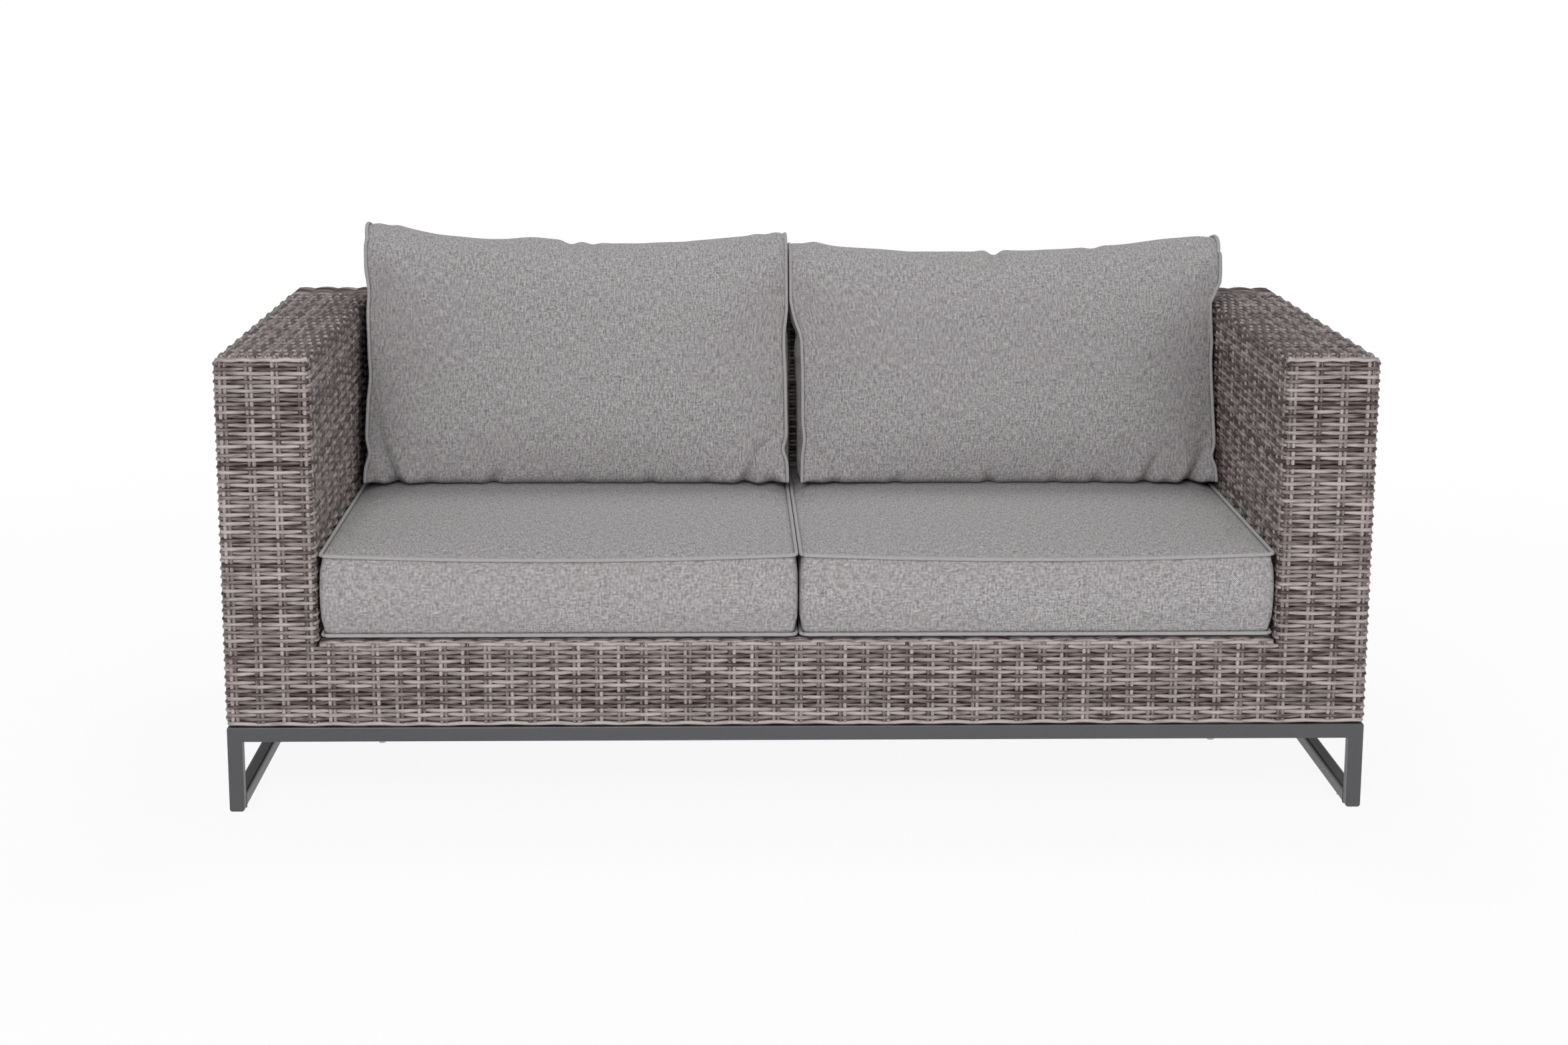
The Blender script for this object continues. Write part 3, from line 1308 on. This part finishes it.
class SOFA_OT_weave_arms(bpy.types.Operator):
    """Weaves both arms and their borders"""

    bl_idname = "sofa.weave_arms"
    bl_label = "Weave Arms"

    def execute(self, context):
        weave = Weave(context.scene.sofa_weave)
        for hand, side in HANDS:
            weave_arm(weave, hand, side)
        edge_border(weave)
        return {"FINISHED"}


class SOFA_OT_lining(bpy.types.Operator):
    """Lines the woven skins, so that their gaps look dark"""

    bl_idname = "sofa.lining"
    bl_label = "Lining"

    def execute(self, context):
        speckled_finish("lining", (0.012, 0.009, 0.008), (0.022, 0.017, 0.015), 500, 0.8)
        reach = Vector((0, LINING_DEPTH, 0))
        for hand, _ in HANDS:
            low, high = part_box(f"woven_arm_{hand}")
            line_skin(f"arm_{hand}_lining", low, high + reach, ("-z", "+y"))
        line_skin("back_lining", BACK_LOW, BACK_HIGH, ("-z",))
        line_skin("apron_lining", APRON_LOW, APRON_HIGH, ("-z", "+y", "-x", "+x"))
        line_deck()
        return {"FINISHED"}


class SOFA_OT_weave_front(bpy.types.Operator):
    """Weaves the lower band across the front, and the apron's sill"""

    bl_idname = "sofa.weave_front"
    bl_label = "Weave Front"

    def execute(self, context):
        weave_front(Weave(context.scene.sofa_weave))
        return {"FINISHED"}


class SOFA_OT_weave_back(bpy.types.Operator):
    """Weaves the back"""

    bl_idname = "sofa.weave_back"
    bl_label = "Weave Back"

    def execute(self, context):
        weave_back(Weave(context.scene.sofa_weave))
        return {"FINISHED"}


class SOFA_OT_deck(bpy.types.Operator):
    """Weaves the open deck that the seat cushions lie on"""

    bl_idname = "sofa.deck"
    bl_label = "Deck"

    def execute(self, context):
        weave_deck(Weave(context.scene.sofa_weave))
        return {"FINISHED"}


class SOFA_OT_seat_cushions(bpy.types.Operator):
    """Makes the seat cushions with piping round both faces"""

    bl_idname = "sofa.seat_cushions"
    bl_label = "Seat Cushions"

    def execute(self, context):
        cushion = context.scene.sofa_cushion
        cloth = cloth_finish(cushion, "seat_cloth", upright=0.28, level=0.26)
        piping = piping_finish(cushion)
        for hand, _ in HANDS:
            form = seat_form(hand)
            low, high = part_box(f"{form.node}_cover")
            room = [(x, x, 0, 1) for x in (low.x - SEAT_MARGIN, high.x + SEAT_MARGIN)]
            cover = build_cover(form, SEAT_SWELLING, [], cloth, room)
            lines = [seam_loop(form, w) for w in (1, -1)]
            build_piping(form, lines, cushion, piping)
        return {"FINISHED"}


class SOFA_OT_back_cushions(bpy.types.Operator):
    """Makes the leaning back cushions with piping up their ends"""

    bl_idname = "sofa.back_cushions"
    bl_label = "Back Cushions"

    def execute(self, context):
        cushion = context.scene.sofa_cushion
        cloth = cloth_finish(cushion, "back_cloth", upright=0.32, level=0.12)
        piping = piping_finish(cushion)
        for hand, _ in HANDS:
            form = back_form(hand)
            room = BACK_ROOM[hand]
            cover = build_cover(form, BACK_SWELLING, BACK_PUCKERS[hand], cloth, room)
            lines = [seam_over(form, u, room, cushion.piping) for u in (-1, 1)]
            build_piping(form, lines, cushion, piping)
        return {"FINISHED"}


class SOFA_OT_hard_parts(bpy.types.Operator):
    """Finishes the base, frame, pads, bolts, glides and zips"""

    bl_idname = "sofa.hard_parts"
    bl_label = "Hard Parts"

    def execute(self, context):
        metal = context.scene.sofa_metal
        coat = speckled_finish("powder_coat", *shades(metal.coat), 900, 0.42)
        kinds = {
            "base_metal": coat,
            "frame_aluminium": speckled_finish(
                "brown_coat", (0.020, 0.015, 0.013), (0.032, 0.025, 0.022), 900, 0.5),
            "black_plastic": speckled_finish(
                "black_plastic", (0.014, 0.014, 0.014), (0.022, 0.022, 0.022), 1500, 0.5),
            "zinc": brushed_finish("zinc", (0.40, 0.41, 0.42), (0.52, 0.53, 0.54), 900, 0.32),
            "zip_tape": speckled_finish(
                "zip_tape", (0.10, 0.10, 0.105), (0.17, 0.17, 0.18), 1400, 0.7, bump=0.0005),
        }
        slots = {part["node"]: part["material_slot"] for part in frame["record"]["subparts"]}
        for kind, material in kinds.items():
            dress([name for name, slot in slots.items() if slot == kind], material)
        weld_beads(metal, coat)
        return {"FINISHED"}


class SOFA_OT_stage(bpy.types.Operator):
    """Sets the floor, the background, the lamps and the camera"""

    bl_idname = "sofa.stage"
    bl_label = "Stage"

    def execute(self, context):
        settings = context.scene.sofa_stage
        context.scene.view_settings.view_transform = "Standard"
        add_camera(settings)
        add_floor(settings)
        add_world()
        for lamp in LAMPS:
            add_lamp(*lamp)
        return {"FINISHED"}


def add_camera(settings):
    """The camera, at the stage's place and turn."""
    yaw, pitch, roll = settings.yaw, settings.pitch, settings.roll
    level = math.cos(pitch)
    ahead = Vector((math.sin(yaw) * level, math.cos(yaw) * level, -math.sin(pitch)))
    right = Vector((math.cos(yaw), -math.sin(yaw), 0))
    up = right.cross(ahead)
    tilted_right = right * math.cos(roll) + up * math.sin(roll)
    tilted_up = up * math.cos(roll) - right * math.sin(roll)
    data = bpy.data.cameras.new("camera")
    data.sensor_fit = "HORIZONTAL"
    data.sensor_width = SENSOR_WIDTH
    data.lens = settings.focal_pixels * SENSOR_WIDTH / IMAGE_WIDTH
    camera = bpy.data.objects.new("camera", data)
    turn = Matrix((tilted_right, tilted_up, -ahead)).transposed().to_4x4()
    camera.matrix_world = Matrix.Translation(settings.camera) @ turn
    bpy.context.scene.collection.objects.link(camera)
    bpy.context.scene.camera = camera


# Name, place, target, size in metres and power in watts
LAMPS = (
    ("key", (-0.9, -5.0, 2.9), (0, 0, 0.4), 2.4, 126),
    ("fill", (1.6, -5.0, 1.4), (0, 0, 0.4), 2.2, 42),
    ("top", (0.2, 1.6, 3.4), (0, 0, 0.6), 1.3, 38),
)
WORLD_LIGHT = 0.34
# The share of plain white in the floor that the camera sees, up to the near distance from the
# sofa's middle; it is 1 from the far one on
FLOOR_WHITE = 0.92
FLOOR_NEAR = 1.0
FLOOR_FAR = 3.0
FLOOR_REACH = 30


def add_floor(settings):
    """A pale floor with the sofa's shadow, which the camera sees turn white away from the sofa."""
    finish = Finish("floor", Roughness=0.9)
    finish.shader.inputs["Base Color"].default_value = (*settings.floor, 1)
    glow = finish.node("Emission", {"Color": (1, 1, 1, 1), "Strength": 1.0}).outputs[0]
    away = finish.node("VectorMath", {0: finish.node("TexCoord").outputs["Object"]}, operation="LENGTH")
    white = {"Value": away.outputs["Value"], "From Min": FLOOR_NEAR, "From Max": FLOOR_FAR,
             "To Min": FLOOR_WHITE, "To Max": 1.0}
    seen = finish.math("MULTIPLY", seen_directly(finish), finish.node("MapRange", white).outputs[0])
    mixed = finish.node("MixShader", {"Fac": seen, 1: finish.shader.outputs[0], 2: glow}).outputs[0]
    finish.tree.links.new(mixed, finish.tree.nodes["Material Output"].inputs["Surface"])
    sheet = bmesh.new()
    bmesh.ops.create_grid(sheet, x_segments=1, y_segments=1, size=FLOOR_REACH)
    mesh = bpy.data.meshes.new("floor")
    sheet.to_mesh(mesh)
    sheet.free()
    mesh.materials.append(finish.material)
    floor = bpy.data.objects.new("floor", mesh)
    bpy.context.scene.collection.objects.link(floor)


def seen_directly(finish):
    """1 for what the camera sees, also by way of gloss or glass, and 0 for light that bounces."""
    path = finish.node("LightPath").outputs
    glossy = finish.math("ADD", path["Is Camera Ray"], path["Is Glossy Ray"])
    return finish.math("ADD", glossy, path["Is Transmission Ray"], clamp=True)


def add_world():
    """A white background over an even, dimmer light."""
    world = bpy.data.worlds.new("studio")
    bpy.context.scene.world = world
    world.use_nodes = True
    nodes = world.node_tree.nodes
    links = world.node_tree.links
    path = nodes.new("ShaderNodeLightPath").outputs
    seen = nodes.new("ShaderNodeMath")
    seen.operation = "MAXIMUM"
    links.new(path["Is Camera Ray"], seen.inputs[0])
    links.new(path["Is Transmission Ray"], seen.inputs[1])
    strength = nodes.new("ShaderNodeMapRange")
    links.new(seen.outputs[0], strength.inputs["Value"])
    strength.inputs["To Min"].default_value = WORLD_LIGHT
    strength.inputs["To Max"].default_value = 1.0
    nodes["Background"].inputs["Color"].default_value = (1, 1, 1, 1)
    links.new(strength.outputs[0], nodes["Background"].inputs["Strength"])


def add_lamp(name, place, target, size, power):
    """A round lamp that shines at a target."""
    data = bpy.data.lights.new(name, "AREA")
    data.shape = "DISK"
    data.size = size
    data.energy = power
    lamp = bpy.data.objects.new(name, data)
    turn = (Vector(target) - Vector(place)).to_track_quat("-Z", "Y").to_matrix().to_4x4()
    lamp.matrix_world = Matrix.Translation(place) @ turn
    bpy.context.scene.collection.objects.link(lamp)


STEPS = (
    SOFA_OT_stage, SOFA_OT_hard_parts, SOFA_OT_lining, SOFA_OT_weave_arms, SOFA_OT_weave_front,
    SOFA_OT_weave_back, SOFA_OT_deck, SOFA_OT_seat_cushions, SOFA_OT_back_cushions,
)


class SOFA_PT_panel(bpy.types.Panel):
    """Lists the sofa's pieces and its main settings"""

    bl_idname = "SOFA_PT_panel"
    bl_label = "Sofa"
    bl_space_type = "VIEW_3D"
    bl_region_type = "UI"
    bl_category = "Sofa"

    def draw(self, context):
        for step in STEPS:
            self.layout.operator(step.bl_idname)
        for name in SETTINGS:
            group = getattr(context.scene, name)
            for setting in group.bl_rna.properties.keys():
                if setting not in ("rna_type", "name"):
                    self.layout.prop(group, setting)


SETTINGS = {
    "sofa_weave": WeaveSettings,
    "sofa_cushion": CushionSettings,
    "sofa_metal": MetalSettings,
    "sofa_stage": StageSettings,
}


def register():
    for name, settings in SETTINGS.items():
        bpy.utils.register_class(settings)
        setattr(bpy.types.Scene, name, bpy.props.PointerProperty(type=settings))
    for step in (*STEPS, SOFA_PT_panel):
        bpy.utils.register_class(step)


def unregister():
    for step in reversed((*STEPS, SOFA_PT_panel)):
        bpy.utils.unregister_class(step)
    for name, settings in reversed(SETTINGS.items()):
        delattr(bpy.types.Scene, name)
        bpy.utils.unregister_class(settings)


def main():
    """Makes every piece."""
    register()
    for step in STEPS:
        group, name = step.bl_idname.split(".")
        getattr(getattr(bpy.ops, group), name)()


if __name__ == "__main__":
    main()
